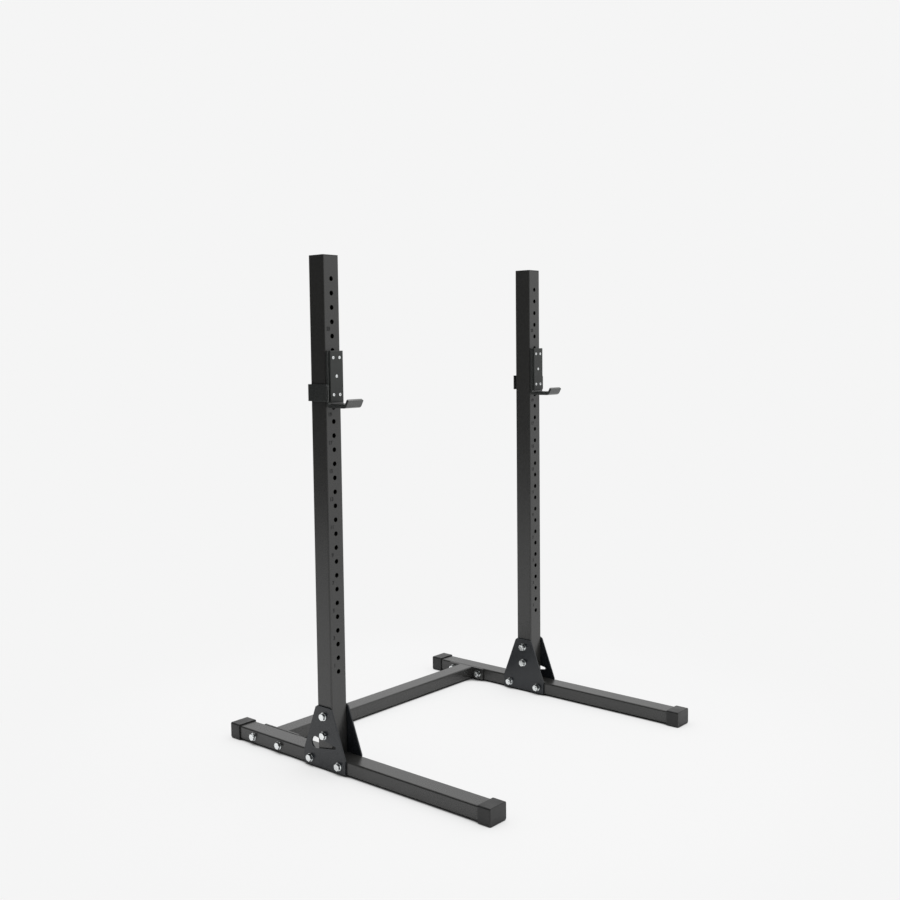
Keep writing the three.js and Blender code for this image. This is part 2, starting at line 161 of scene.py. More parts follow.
class FastenerSizes(bpy.types.PropertyGroup):
    """Sizes of the large bolts and nuts and of the liner screws."""

    flats: length(24, "Across flats", "Width of a bolt head or nut across its flats")
    head: length(10, "Head height", "Height of a bolt's head")
    nut: length(14, "Nut height", "Height of a nut")
    washer: length(30, "Washer", "Outside diameter of a washer")
    washer_thick: length(3, "Washer thickness", "Thickness of a washer")
    washer_edge: length(0.4, "Washer edge", "Radius of a washer's edges")
    shank: length(16, "Shank", "Diameter of a bolt")
    pitch: length(2, "Thread pitch", "Distance between neighbouring threads")
    thread: length(0.9, "Thread depth", "Depth of the thread")
    crown: length(22.6, "Crown", "Diameter of the flat inside a hexagon's chamfer")
    crown_depth: length(1.5, "Crown depth", "Depth of a hexagon's chamfer at its corners")
    head_edge: length(0.25, "Head edge", "Radius of a bolt head's edges")
    nut_edge: length(0.3, "Nut edge", "Radius of a nut's edges")
    nut_gap: length(0.6, "Nut gap", "How much wider a nut's bore is than the bolt")
    turn_step: degrees(37, "Turn", "How much further each bolt or nut is turned than the last one")
    screw_head: length(12, "Screw head", "Diameter of a liner screw's head")
    screw_head_height: length(3.5, "Screw head height", "Height of a liner screw's head")
    screw_round: length(1.2, "Screw round", "Radius around the face of a liner screw's head")
    screw_edge: length(0.15, "Screw edge", "Radius of a liner screw's other edges")
    screw_turn: degrees(23, "Screw turn", "How much further each liner screw is turned than the last one")
    screw_shank: length(6, "Screw shank", "Diameter of a liner screw")
    socket: length(5, "Socket", "Width of a liner screw's hexagon socket across its flats")
    socket_depth: length(2.2, "Socket depth", "Depth of a liner screw's socket")


class HookSizes(bpy.types.PropertyGroup):
    """Sizes of the bar hooks."""

    width: length(74, "Width", "Width of the hook plate")
    thick: length(10, "Thickness", "Thickness of the hook plate")
    above: length(149, "Above", "Top of the hook plate above the middle of the peg")
    bend: length(16, "Bend", "Outside radius of the hook plate's bends")
    toe: length(96, "Toe", "Distance from the back of the plate to the corner under the lip")
    lip: length(31, "Lip", "Length of the lip from the corner under it")
    lip_angle: degrees(61.5, "Lip angle", "How far the lip turns up from the arm")
    lip_corner: length(4, "Lip corner", "Radius of the lip's free corners")
    ear: length(56, "Ear", "Height of the ear between the plate and the yoke")
    yoke: length(5, "Yoke thickness", "Thickness of the yoke's strap")
    yoke_bend: length(7, "Yoke bend", "Outside radius of the yoke's bend")
    edge: length(0.8, "Edge softness", "Radius of the hook's edges under the powder coat")
    liner_edge: length(1.5, "Liner edge", "Chamfer along the liners' edges")
    liner_soft: length(0.3, "Liner softness", "Radius of the liners' other edges")
    peg: length(16, "Peg", "Diameter of the peg")
    peg_tip: length(2, "Peg tip", "Radius around the peg's end")
    fit: length(0.3, "Fit", "Gap around screws and peg")
    weld: length(3.2, "Weld", "Radius of a weld bead")
    ripple: length(2.4, "Weld ripple", "Distance between the ripples of a weld bead")


class Finishes(bpy.types.PropertyGroup):
    """Colours and gloss of the finishes."""

    powder_coat: colour("#2d2d2c", "Powder coat", "Satin black powder coat on the tubes")
    plate_coat: colour("#202327", "Plate coat", "Satin black powder coat on the gussets")
    hook_coat: colour("#2e302f", "Hook coat", "Satin black powder coat on the hooks")
    tube_index: factor(1.6, "Tube IOR", "Index of refraction of the coat on the tubes")
    plate_index: factor(1.5, "Plate IOR", "Index of refraction of the coat on the gussets")
    hook_index: factor(1.8, "Hook IOR", "Index of refraction of the coat on the hooks")
    zinc: colour("#f0f3f3", "Zinc", "Bright zinc plating")
    rubber: colour("#191919", "Rubber", "Moulded rubber of the foot caps")
    cap: colour("#1a1a1a", "Cap", "Moulded plastic of the upright caps")
    liner: colour("#2a2d2b", "Liner", "Machined plastic of the hook liners")
    number: colour("#080808", "Number", "Ink of the hole numbers")


class StudioSettings(bpy.types.PropertyGroup):
    """Camera, light and backdrop."""

    camera_place: FloatVectorProperty(
        name="Camera", description="Place of the camera", default=(-3.2881, -2.7721, 1.5123),
        subtype="TRANSLATION", unit="LENGTH",
    )
    camera_yaw: degrees(48.827, "Yaw", "Camera's turn from +Y towards +X")
    camera_pitch: degrees(4.581, "Pitch", "Camera's tilt down")
    camera_roll: degrees(-0.669, "Roll", "Camera's roll against the clock, as the camera looks")
    camera_lens: FloatProperty(
        name="Lens", description="Focal length", default=44.29, subtype="DISTANCE_CAMERA"
    )
    camera_shift: FloatVectorProperty(
        name="Shift", description="Shift of the lens, as a share of the picture's width",
        default=(10.5 / 900, -12.2 / 900), size=2,
    )
    backdrop: colour("#f5f5f5", "Backdrop", "White of the floor and of the backdrop")
    fill_light: factor(0.33, "Fill light", "Light of the room from all round")
    side_light: factor(0.44, "Side light", "Light that the right side of the room adds")
    top_light: factor(0.39, "Top light", "Light that the ceiling adds")
    lamp_power: FloatProperty(
        name="Lamp", description="Power of the softbox", default=43, min=0, unit="POWER"
    )
    lamp_height: length(3600, "Lamp height", "Height of the softbox")
    lamp_width: length(3000, "Lamp width", "Width of the softbox")
    shadow: factor(0.3, "Shadow", "Share of the lit floor, with its shadows, that the camera sees")
    contact: length(55, "Contact shadow", "Reach of the dark line where the stand meets the floor")
    floor_radius: length(6000, "Floor radius", "Radius of the floor")
    floor_near: length(1150, "Floor start", "Radius of the floor's plain part")
    floor_far: length(1900, "Floor fade", "Radius where the floor has faded into the backdrop")


GROUPS = {
    "stand_tubes": TubeSizes, "stand_foot_caps": FootCapSizes, "stand_plates": PlateSizes,
    "stand_fasteners": FastenerSizes, "stand_hooks": HookSizes, "stand_finishes": Finishes,
    "stand_studio": StudioSettings,
}


# Choosing and editing

def select_only(*pieces):
    """Leaves just these pieces selected, in object mode, with the first one active."""
    if bpy.context.mode != "OBJECT":
        bpy.ops.object.mode_set(mode="OBJECT")
    bpy.ops.object.select_all(action="DESELECT")
    for piece in pieces:
        piece.select_set(True)
    if pieces:
        bpy.context.view_layer.objects.active = pieces[0]


def pick(piece, kind, wanted):
    """Opens a piece in edit mode with just the wanted vertices, edges or faces selected."""
    select_only(piece)
    bpy.ops.object.mode_set(mode="EDIT")
    bpy.ops.mesh.select_mode(type=kind)
    bpy.ops.mesh.select_all(action="DESELECT")
    shape = bmesh.from_edit_mesh(piece.data)
    shape.normal_update()
    parts = {"VERT": shape.verts, "EDGE": shape.edges, "FACE": shape.faces}[kind]
    for part in parts:
        if wanted(part):
            part.select_set(True)
    shape.select_flush_mode()
    bmesh.update_edit_mesh(piece.data)


def leave_edit():
    bpy.ops.object.mode_set(mode="OBJECT")


def facing(direction):
    """Picks the faces that look along a direction."""
    return lambda face: face.normal.dot(direction) > ALIGNED


def running(direction):
    """Picks the edges that run along a direction."""
    return lambda edge: abs((edge.verts[1].co - edge.verts[0].co).normalized().dot(direction)) > ALIGNED


def lying(axis, level):
    """Picks the edges that lie at one level of the x, y or z axis."""
    return lambda edge: all(abs(getattr(vertex.co, axis) - level) < NEAR for vertex in edge.verts)


def folded(edge):
    """Picks the edges whose two faces meet at more than half a right angle."""
    return edge.calc_face_angle(0) > math.radians(45)


def both(first, second):
    """Picks what two ways of picking agree on."""
    return lambda part: first(part) and second(part)


def settle(piece):
    """Moves a piece's place, turn and scale into its mesh."""
    select_only(piece)
    bpy.ops.object.transform_apply(location=True, rotation=True, scale=True)


def modify(piece, kind, **settings):
    """Adds a modifier to a piece and applies it."""
    select_only(piece)
    bpy.ops.object.modifier_add(type=kind)
    modifier = piece.modifiers[-1]
    for name, value in settings.items():
        setattr(modifier, name, value)
    bpy.ops.object.modifier_apply(modifier=modifier.name)


def join(pieces):
    """Joins pieces into the first one."""
    select_only(*pieces)
    if len(pieces) > 1:
        bpy.ops.object.join()
    return pieces[0]


def combine(piece, tools, operation):
    """Cuts a piece with the tools, or joins it with them, and removes the tools."""
    tool = join(tools)
    modify(piece, "BOOLEAN", operation=operation, solver="EXACT", object=tool)
    bpy.data.objects.remove(tool)


def soften(piece, width, segments=2):
    """Rounds a piece's sharp edges and leaves its flat faces flat."""
    modify(
        piece, "BEVEL", width=width, segments=segments, limit_method="ANGLE", angle_limit=math.radians(35),
        use_clamp_overlap=True,
    )
    shade(piece)


def shade(piece):
    """Shades a piece smooth between its sharp edges."""
    select_only(piece)
    bpy.ops.object.shade_smooth_by_angle(angle=math.radians(40))
    modify(piece, "WEIGHTED_NORMAL", keep_sharp=True, weight=100)


# Starting shapes

def block(name, low, high):
    """A box between two corners."""
    select_only()
    low, high = Vector(low), Vector(high)
    bpy.ops.mesh.primitive_cube_add(size=1, location=(low + high) / 2)
    piece = bpy.context.object
    piece.name = name
    piece.scale = high - low
    settle(piece)
    return piece


def rod(name, start, end, diameter, sides=48, turn=0):
    """A round or many-sided rod between two points."""
    select_only()
    start, end = Vector(start), Vector(end)
    heading = (end - start).to_track_quat("Z", "Y") @ Quaternion(Z_AXIS, turn)
    bpy.ops.mesh.primitive_cylinder_add(
        vertices=sides, radius=diameter / 2, depth=(end - start).length, location=(start + end) / 2,
        rotation=heading.to_euler(),
    )
    piece = bpy.context.object
    piece.name = name
    settle(piece)
    return piece


def copy_of(master, name, place, turn):
    """A copy of a master with its own mesh, turned and then moved."""
    select_only(master)
    bpy.ops.object.duplicate()
    piece = bpy.context.object
    piece.name = name
    piece.matrix_world = Matrix.Translation(place) @ turn
    settle(piece)
    return piece


def round_edges(piece, wanted, radius, segments=4):
    """Rounds the wanted edges of a piece."""
    pick(piece, "EDGE", wanted)
    bpy.ops.mesh.bevel(offset=radius, segments=segments, affect="EDGES")
    leave_edit()


def push(direction, distance):
    """Extrudes what is selected along a direction."""
    move = {"value": Vector(direction) * distance}
    bpy.ops.mesh.extrude_region_move(TRANSFORM_OT_translate=move)


def bend(centre, axis, angle, steps):
    """Extrudes what is selected round a centre; the spin operator turns against its axis."""
    bpy.ops.mesh.spin(steps=steps, angle=angle, center=centre, axis=-axis)


def square_tube(name, low, high, along, sizes):
    """A tube of square or rectangular section, open at both ends."""
    piece = block(name, low, high)
    round_edges(piece, running(along), sizes.corner, segments=6)
    pick(piece, "FACE", lambda face: abs(face.normal.dot(along)) > ALIGNED)
    bpy.ops.mesh.delete(type="FACE")
    leave_edit()
    modify(piece, "SOLIDIFY", thickness=sizes.wall, offset=-1, use_even_offset=True)
    return piece


def weld_bead(points, sizes):
    """A rippled weld bead through some points, which starts and stops narrow."""
    steps_per_ripple, narrowest, growth, relief = 4, 0.55, 0.15, 0.1
    places = []
    for start, end in zip(points, points[1:]):
        start, end = Vector(start), Vector(end)
        steps = max(2, round((end - start).length / (sizes.ripple / steps_per_ripple)))
        places += [start.lerp(end, step / steps) for step in range(steps + (end == Vector(points[-1])))]
    line = bpy.data.curves.new("weld", "CURVE")
    line.dimensions = "3D"
    line.bevel_depth = sizes.weld
    line.bevel_resolution = 3
    line.use_fill_caps = True
    spline = line.splines.new("POLY")
    last = len(places) - 1
    spline.points.add(last)
    for index, (point, place) in enumerate(zip(spline.points, places)):
        point.co = (*place, 1)
        taper = min(1, narrowest + growth * min(index, last - index))
        point.radius = taper * (1 + relief * math.sin(index * 2 * math.pi / steps_per_ripple))
    bead = bpy.data.objects.new("weld", line)
    bpy.context.scene.collection.objects.link(bead)
    select_only(bead)
    bpy.ops.object.convert(target="MESH")
    bead = bpy.context.object
    shade(bead)
    return bead


# Finishes

def set_up(tree, node, settings=None, links=None):
    """Sets a node's values and links its inputs, which go by their names or numbers."""
    for name, value in (settings or {}).items():
        if isinstance(name, int) or name in node.inputs.keys():
            node.inputs[name].default_value = value
        else:
            setattr(node, name, value)
    for name, source in (links or {}).items():
        tree.links.new(source, node.inputs[name])
    return node


def add_node(tree, kind, settings=None, links=None):
    """Adds a node with its settings and links."""
    return set_up(tree, tree.nodes.new(kind), settings, links)


def per_metre(millimetres):
    """Scale of a pattern whose features are about this far apart."""
    return 1 / (millimetres * MM)


def new_finish(name, **patterns):
    """A material with its tree, its Object coordinates and its noise patterns, each around one half and
    given as the millimetres between its features, its detail and its roughness."""
    finish = bpy.data.materials.new(name)
    finish.use_nodes = True
    tree = finish.node_tree
    place = add_node(tree, "ShaderNodeTexCoord").outputs["Object"]
    for key, (apart, detail, roughness) in patterns.items():
        settings = {"Scale": per_metre(apart), "Detail": detail, "Roughness": roughness}
        noise = add_node(tree, "ShaderNodeTexNoise", settings, {"Vector": place})
        patterns[key] = noise.outputs["Fac"]
    return finish, tree, place, patterns


def dress(tree, base, tint, cloud, gloss=None, bumps=(), **values):
    """Makes the colour a share darker and lighter by a pattern, leads the roughness by a pattern between
    two values, and raises the bumps, each given as its pattern, its strength and its millimetres."""
    dark, light = (
        [min(1, channel * change) for channel in base[:3]] + [1] for change in (1 - tint, 1 + tint)
    )
    mottled = add_node(
        tree, "ShaderNodeMix", {"data_type": "RGBA", 6: dark, 7: light}, {"Factor": cloud}
    )
    links = {"Base Color": mottled.outputs[2]}
    if gloss:
        pattern, low, high = gloss
        settings = {"From Min": 0.3, "From Max": 0.7, "To Min": low, "To Max": high}
        uneven = add_node(tree, "ShaderNodeMapRange", settings, {"Value": pattern})
        links["Roughness"] = uneven.outputs["Result"]
    for height, strength, millimetres in bumps:
        below = {"Normal": links["Normal"]} if "Normal" in links else {}
        settings = {"Strength": strength, "Distance": millimetres * MM}
        bump = add_node(tree, "ShaderNodeBump", settings, {"Height": height, **below})
        links["Normal"] = bump.outputs["Normal"]
    set_up(tree, tree.nodes["Principled BSDF"], values, links)


def powder_coat(name, base, index):
    """Epoxy-polyester powder coat baked on steel: a satin skin with a fine orange peel, which turns
    glossy where it is seen at a low angle."""
    # The grain of the powder is finer than this, and is drawn as coarse as it needs to show.
    finish, tree, _, skin = new_finish(name, peel=(2.2, 2, 0.45), grain=(0.6, 1, 0.5), cloud=(140, 3, 0.5))
    dress(
        tree, base, tint=0.1, cloud=skin["cloud"], gloss=(skin["peel"], 0.24, 0.34),
        bumps=((skin["grain"], 0.12, 0.05), (skin["peel"], 0.35, 0.12)), IOR=index,
    )
    return finish


def zinc_plate(name, base):
    """Bright zinc plating on rolled and forged steel: a soft metal mirror with a fine mottle."""
    finish, tree, _, skin = new_finish(name, mottle=(3, 4, 0.6))
    mottle = skin["mottle"]
    dress(
        tree, base, tint=0.06, cloud=mottle, gloss=(mottle, 0.16, 0.28), bumps=((mottle, 0.2, 0.04),),
        Metallic=1,
    )
    return finish


def moulded(name, base, apart, relief):
    """Rubber or plastic from a spark-eroded mould: dull, with an even grain and a faint cloud."""
    # The real grain is finer, and is drawn as coarse as it needs to show.
    finish, tree, place, skin = new_finish(name, cloud=(35, 4, 0.5))
    grain = add_node(tree, "ShaderNodeTexVoronoi", {"Scale": per_metre(apart)}, {"Vector": place})
    dress(
        tree, base, tint=0.14, cloud=skin["cloud"], gloss=(skin["cloud"], 0.37, 0.49),
        bumps=((grain.outputs["Distance"], relief, 0.1),),
    )
    return finish


def moulded_rubber(name, base):
    """Solid rubber: the deeper grain of the two, which looks dull all over."""
    return moulded(name, base, apart=0.7, relief=0.4)


def moulded_plastic(name, base):
    """Injection-moulded polyethylene: a wider and shallower grain."""
    return moulded(name, base, apart=0.9, relief=0.3)


def machined_plastic(name, base):
    """Sheet polyethylene, planed and sawn: waxy, with faint straight tool marks down its length."""
    finish, tree, place, skin = new_finish(name, cloud=(25, 3, 0.5))
    stretched = add_node(tree, "ShaderNodeMapping", {"Scale": (1, 1, 0.04)}, {"Vector": place})
    settings = {"Scale": per_metre(0.8), "Detail": 2, "Roughness": 0.5}
    marks = add_node(tree, "ShaderNodeTexNoise", settings, {"Vector": stretched.outputs["Vector"]})
    dress(
        tree, base, tint=0.1, cloud=skin["cloud"], bumps=((marks.outputs["Fac"], 0.25, 0.05),),
        Roughness=0.5,
    )
    return finish


def printed_ink(name, base):
    """Screen-printed ink: matte and slightly uneven."""
    finish, tree, _, skin = new_finish(name, cloud=(1.5, 3, 0.5))
    dress(tree, base, tint=0.25, cloud=skin["cloud"], Roughness=0.7)
    return finish


def finish_named(slot):
    """The finish for one of the record's material slots, or the numbers' ink, made on first use."""
    looks = bpy.context.scene.stand_finishes
    tube = ("powder_coated_tube", powder_coat, looks.powder_coat, looks.tube_index)
    makers = {
        "upright_paint": tube,
        "frame_paint": tube,
        "gusset_paint": ("powder_coated_plate", powder_coat, looks.plate_coat, looks.plate_index),
        "hook_paint": ("powder_coated_hook", powder_coat, looks.hook_coat, looks.hook_index),
        "zinc": ("zinc_plated_steel", zinc_plate, looks.zinc),
        "foot_rubber": ("moulded_rubber", moulded_rubber, looks.rubber),
        "cap_plastic": ("moulded_polyethylene", moulded_plastic, looks.cap),
        "liner_plastic": ("machined_polyethylene", machined_plastic, looks.liner),
        "number_ink": ("screen_printed_ink", printed_ink, looks.number),
    }
    name, make, base, *more = makers[slot]
    return bpy.data.materials.get(name) or make(name, base, *more)


def hand_over(piece, body, slot, *nodes, finish=None):
    """Gives a finished piece the finish that its slot calls for, puts it on its body and hides the frame's
    nodes that it stands for.
    """
    piece.data.name = piece.name
    piece.data.materials.clear()
    piece.data.materials.append(finish_named(finish or slot))
    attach(piece, body)
    if nodes:
        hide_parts(*nodes)


def remove_masters(*masters):
    """Removes pieces that were only modelled to be copied."""
    for master in masters:
        bpy.data.objects.remove(master)


def axis_of(node):
    """The Y and Z of a bolt or nut, which lies along X."""
    low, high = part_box(node)
    return (low.y + high.y) / 2, (low.z + high.z) / 2


def bolt_drills(side, names, sizes, low_x, high_x, reach=2 * REACH):
    """Drills for the large bolts of one side, through what lies between two places along X."""
    drills = []
    for name in names:
        y, z = axis_of(f"{side}_{name}_bolt")
        ends = (low_x - reach, y, z), (high_x + reach, y, z)
        drills.append(rod("drill", *ends, sizes.bolt_hole, sides=32))
    return drills


# Uprights

class STAND_OT_uprights(bpy.types.Operator):
    """Build the uprights with their peg holes and top caps"""

    bl_idname = "stand.uprights"
    bl_label = "Uprights"

    def execute(self, context):
        sizes = context.scene.stand_tubes
        for side in SIDES:
            self.tube(side, sizes)
            self.cap(side, sizes)
        return {"FINISHED"}

    def tube(self, side, sizes):
        node = f"{side}_upright"
        low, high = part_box(node)
        piece = square_tube(f"{side}_upright_tube", low, high, Z_AXIS, sizes)
        middle = (low.x + high.x) / 2
        reach = 2 * sizes.wall
        drills = bolt_drills(side, UPRIGHT_BOLTS, sizes, low.x, high.x, reach)
        for hole in range(sizes.hole_count):
            level = sizes.lowest_hole + hole * sizes.hole_pitch
            ends = (middle, low.y - reach, level), (middle, low.y + reach, level)
            drills.append(rod("drill", *ends, sizes.peg_hole, sides=40))
        combine(piece, drills, "DIFFERENCE")
        soften(piece, sizes.edge)
        hand_over(piece, BODY, "upright_paint", node)

    def cap(self, side, sizes):
        node = f"{side}_upright_cap"
        low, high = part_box(node)
        piece = block(f"{side}_upright_top_cap", (low.x, low.y, high.z - sizes.cap_lid), high)
        round_edges(piece, running(Z_AXIS), sizes.corner, segments=6)
        pick(piece, "FACE", facing(-Z_AXIS))
        bpy.ops.mesh.inset(thickness=sizes.cap_plug_gap, depth=0)
        push(-Z_AXIS, high.z - sizes.cap_lid - low.z)
        leave_edit()
        soften(piece, 2 * sizes.edge, segments=3)
        hand_over(piece, BODY, "cap_plastic", node)


class STAND_OT_numbers(bpy.types.Operator):
    """Print an odd number beside every other peg hole"""

    bl_idname = "stand.numbers"
    bl_label = "Hole numbers"

    def execute(self, context):
        sizes = context.scene.stand_tubes
        for side in SIDES:
            low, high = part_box(f"{side}_upright")
            middle = (low.x + high.x) / 2 - sizes.number_side
            digits = []
            for number in range(1, sizes.last_number + 1, 2):
                level = sizes.lowest_hole + (number - 1) * sizes.hole_pitch + sizes.number_rise
                digits.append(self.number(number, (middle, low.y, level), sizes))
            piece = join(digits)
            piece.name = f"{side}_hole_numbers"
            settle(piece)
            hand_over(piece, BODY, "upright_paint", finish="number_ink")
        return {"FINISHED"}

    def number(self, value, place, sizes):
        select_only()
        upright = math.radians(90)
        bpy.ops.object.text_add(location=place, rotation=(upright, 0, 0))
        text = bpy.context.object
        text.data.body = str(value)
        text.data.align_x = "CENTER"
        text.data.align_y = "CENTER"
        text.data.size = sizes.number_height / sizes.digit_share
        text.data.offset = sizes.number_bold
        text.data.extrude = sizes.number_relief
        text.data.resolution_u = 4
        bpy.ops.object.convert(target="MESH")
        return bpy.context.object


# Feet

class STAND_OT_feet(bpy.types.Operator):
    """Build the foot tubes and their rubber caps"""

    bl_idname = "stand.feet"
    bl_label = "Feet"

    def execute(self, context):
        tubes = context.scene.stand_tubes
        caps = context.scene.stand_foot_caps
        for side in SIDES:
            node = f"{side}_foot_tube"
            low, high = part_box(node)
            piece = square_tube(f"{side}_foot", low, high, Y_AXIS, tubes)
            names = FOOT_BOLTS + FLANGE_BOLTS
            drills = bolt_drills(side, names, tubes, low.x, high.x, 2 * tubes.wall)
            combine(piece, drills, "DIFFERENCE")
            soften(piece, tubes.edge)
            hand_over(piece, BODY, "frame_paint", node)
            for end, outward in (("front", -Y_AXIS), ("rear", Y_AXIS)):
                self.cap(f"{side}_{end}_foot_cap", outward, caps)
        return {"FINISHED"}

    def cap(self, node, outward, sizes):
        low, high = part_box(node)
        piece = block(node.replace("foot_cap", "rubber_cap"), low, high)
        shift = -outward * sizes.wall
        inner_low = Vector((low.x + sizes.wall, low.y, low.z + sizes.sole)) + shift
        inner_high = Vector((high.x - sizes.wall, high.y, high.z - sizes.wall)) + shift
        room = block("room", inner_low, inner_high)
        round_edges(room, running(Y_AXIS), sizes.room_corner)
        combine(piece, [room], "DIFFERENCE")
        for level, radius, segments in ((high.z, sizes.top_corner, 5), (low.z, sizes.sole_corner, 6)):
            round_edges(piece, both(running(Y_AXIS), lying("z", level)), radius, segments)
        closed, open_end = (high.y, low.y) if outward.y > 0 else (low.y, high.y)
        for level, radius, segments in ((closed, sizes.end_corner, 4), (open_end, sizes.lip, 2)):
            round_edges(piece, both(lying("y", level), folded), radius, segments)
        shade(piece)
        hand_over(piece, BODY, "foot_rubber", node)


# Gussets and crossmember

class STAND_OT_gussets(bpy.types.Operator):
    """Build the gusset plates that clamp the uprights to the feet"""

    bl_idname = "stand.gussets"
    bl_label = "Gussets"

    def execute(self, context):
        plates = context.scene.stand_plates
        tubes = context.scene.stand_tubes
        for side in SIDES:
            for which in ("outer", "inner"):
                self.plate(side, which, plates, tubes)
        return {"FINISHED"}

    def plate(self, side, which, sizes, tubes):
        node = f"{side}_{which}_gusset"
        low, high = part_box(node)
        shoulder = low.z + sizes.shoulder
        middle = (low + high) / 2
        piece = block(f"{node}_plate", low, (high.x, high.y, shoulder))
        pick(piece, "FACE", facing(Z_AXIS))
        push(Z_AXIS, high.z - shoulder)
        taper = sizes.top_width / (high.y - low.y)
        bpy.ops.transform.resize(value=(1, taper, 1), center_override=middle)
        leave_edit()
        pick(piece, "EDGE", both(running(X_AXIS), lying("z", high.z)))
        bpy.ops.mesh.bevel(offset=sizes.clip, offset_type="ABSOLUTE", segments=1, affect="EDGES")
        leave_edit()
        round_edges(piece, both(running(X_AXIS), lying("z", low.z)), sizes.foot_corner, segments=3)
        drills = bolt_drills(side, UPRIGHT_BOLTS + FOOT_BOLTS, tubes, low.x, high.x)
        if which == "outer":
            drills.append(self.slot_tool(low, high, middle.y, sizes))
        combine(piece, drills, "DIFFERENCE")
        soften(piece, sizes.edge)
        hand_over(piece, BODY, "gusset_paint", node)

    def slot_tool(self, low, high, middle, sizes):
        """A round-ended, tapering cutter: a rod whose front half is made smaller and moved forward."""
        level = low.z + sizes.slot_rise
        rear = middle + sizes.slot_end - sizes.slot_rear / 2
        spacing = sizes.slot_length - (sizes.slot_rear + sizes.slot_front) / 2
        ends = (low.x - 2 * REACH, rear, level), (high.x + 2 * REACH, rear, level)
        tool = rod("slot", *ends, sizes.slot_rear, sides=64)
        pick(tool, "VERT", lambda vertex: vertex.co.y < rear + NEAR)
        shrink = sizes.slot_front / sizes.slot_rear
        bpy.ops.transform.resize(value=(1, shrink, shrink), center_override=(low.x, rear, level))
        bpy.ops.transform.translate(value=(0, -spacing, 0))
        leave_edit()
        return tool


class STAND_OT_crossmember(bpy.types.Operator):
    """Build the crossmember with its welded flanges"""

    bl_idname = "stand.crossmember"
    bl_label = "Crossmember"

    def execute(self, context):
        plates = context.scene.stand_plates
        tubes = context.scene.stand_tubes
        hooks = context.scene.stand_hooks
        node = "rear_crossmember"
        low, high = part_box(node)
        middle = (low + high) / 2
        upright_low, upright_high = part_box("left_upright")
        half_depth = (upright_high.y - upright_low.y) / 2
        weld_x = high.x - plates.flange
        tube_low = (low.x + plates.flange, middle.y - half_depth, low.z)
        tube_high = (weld_x, middle.y + half_depth, high.z)
        tube = square_tube("rear_crossmember_tube", tube_low, tube_high, X_AXIS, tubes)
        drain_x = weld_x - tubes.drain_inset
        drains = []
        for x in (-drain_x, drain_x):
            start = (x, middle.y, low.z - tubes.wall)
            drains.append(rod("drill", start, (x, middle.y, low.z + 2 * tubes.wall), tubes.drain, sides=24))
        combine(tube, drains, "DIFFERENCE")
        soften(tube, tubes.edge)
        parts = [tube]
        for side, out in SIDES.items():
            parts.append(self.flange(side, out, low, high, plates, tubes))
            for y in (tube_low[1], tube_high[1]):
                levels = low.z + tubes.corner, high.z - tubes.corner
                parts.append(weld_bead([(out * weld_x, y, level) for level in levels], hooks))
        piece = join(parts)
        piece.name = "rear_crossmember_welded"
        hand_over(piece, BODY, "frame_paint", node)
        return {"FINISHED"}

    def flange(self, side, out, low, high, plates, tubes):
        ends = sorted(((high.x - plates.flange) * out, high.x * out))
        piece = block("flange", (ends[0], low.y, low.z), (ends[1], high.y, high.z))
        round_edges(piece, running(X_AXIS), plates.flange_corner, segments=5)
        drills = bolt_drills(side, FLANGE_BOLTS, tubes, *ends)
        combine(piece, drills, "DIFFERENCE")
        soften(piece, plates.edge)
        return piece


# Bolts, nuts and screws

def hexagon(name, start, end, sizes, both_ends=False):
    """A hexagon along X with its corners turned off at the far end, or at both ends."""
    piece = rod(name, start, end, sizes.flats * ACROSS_CORNERS, sides=6)
    heading = (Vector(end) - Vector(start)).normalized()
    crown = heading * sizes.crown_depth
    body_start = Vector(start) + crown if both_ends else Vector(start) - crown
    # A hair wider than the hexagon, so that only its ends are turned.
    width = sizes.flats * ACROSS_CORNERS + NEAR
    tool = rod("crown", body_start, Vector(end) - crown, width, sides=96)
    shrink = sizes.crown / width
    ends = [heading, -heading] if both_ends else [heading]
    for direction in ends:
        pick(tool, "FACE", facing(direction))
        push(direction, sizes.crown_depth)
        centre = Vector(end) if direction == heading else Vector(start)
        bpy.ops.transform.resize(value=(shrink, shrink, shrink), center_override=centre)
        leave_edit()
    combine(piece, [tool], "INTERSECT")
    return piece


def threaded_rod(name, start, end, thread_from, sizes):
    """A bolt's shank along X, plain to start with and threaded from a point on."""
    piece = rod(name, (start, 0, 0), (thread_from, 0, 0), sizes.shank, sides=40)
    toward = math.copysign(1, end - start)
    steps_per_turn = 6
    step = sizes.pitch / steps_per_turn
    count = round(abs(end - thread_from) / step)
    pick(piece, "FACE", facing(X_AXIS * toward))
    for _ in range(count):
        push(X_AXIS * toward, abs(end - thread_from) / count)
    leave_edit()
    for vertex in piece.data.vertices:
        along = (vertex.co.x - thread_from) * toward
        if along > step / 2:
            angle = math.atan2(vertex.co.z, vertex.co.y)
            wave = 0.5 - 0.5 * math.cos(2 * math.pi * along / sizes.pitch - angle * toward)
            # The last turn is cut down to the thread's root.
            lead = max(0, 1 - (abs(end - thread_from) - along) / sizes.pitch)
            depth = sizes.thread * max(wave, lead)
            radius = sizes.shank / 2 - depth
            vertex.co.y = radius * math.cos(angle)
            vertex.co.z = radius * math.sin(angle)
    return piece


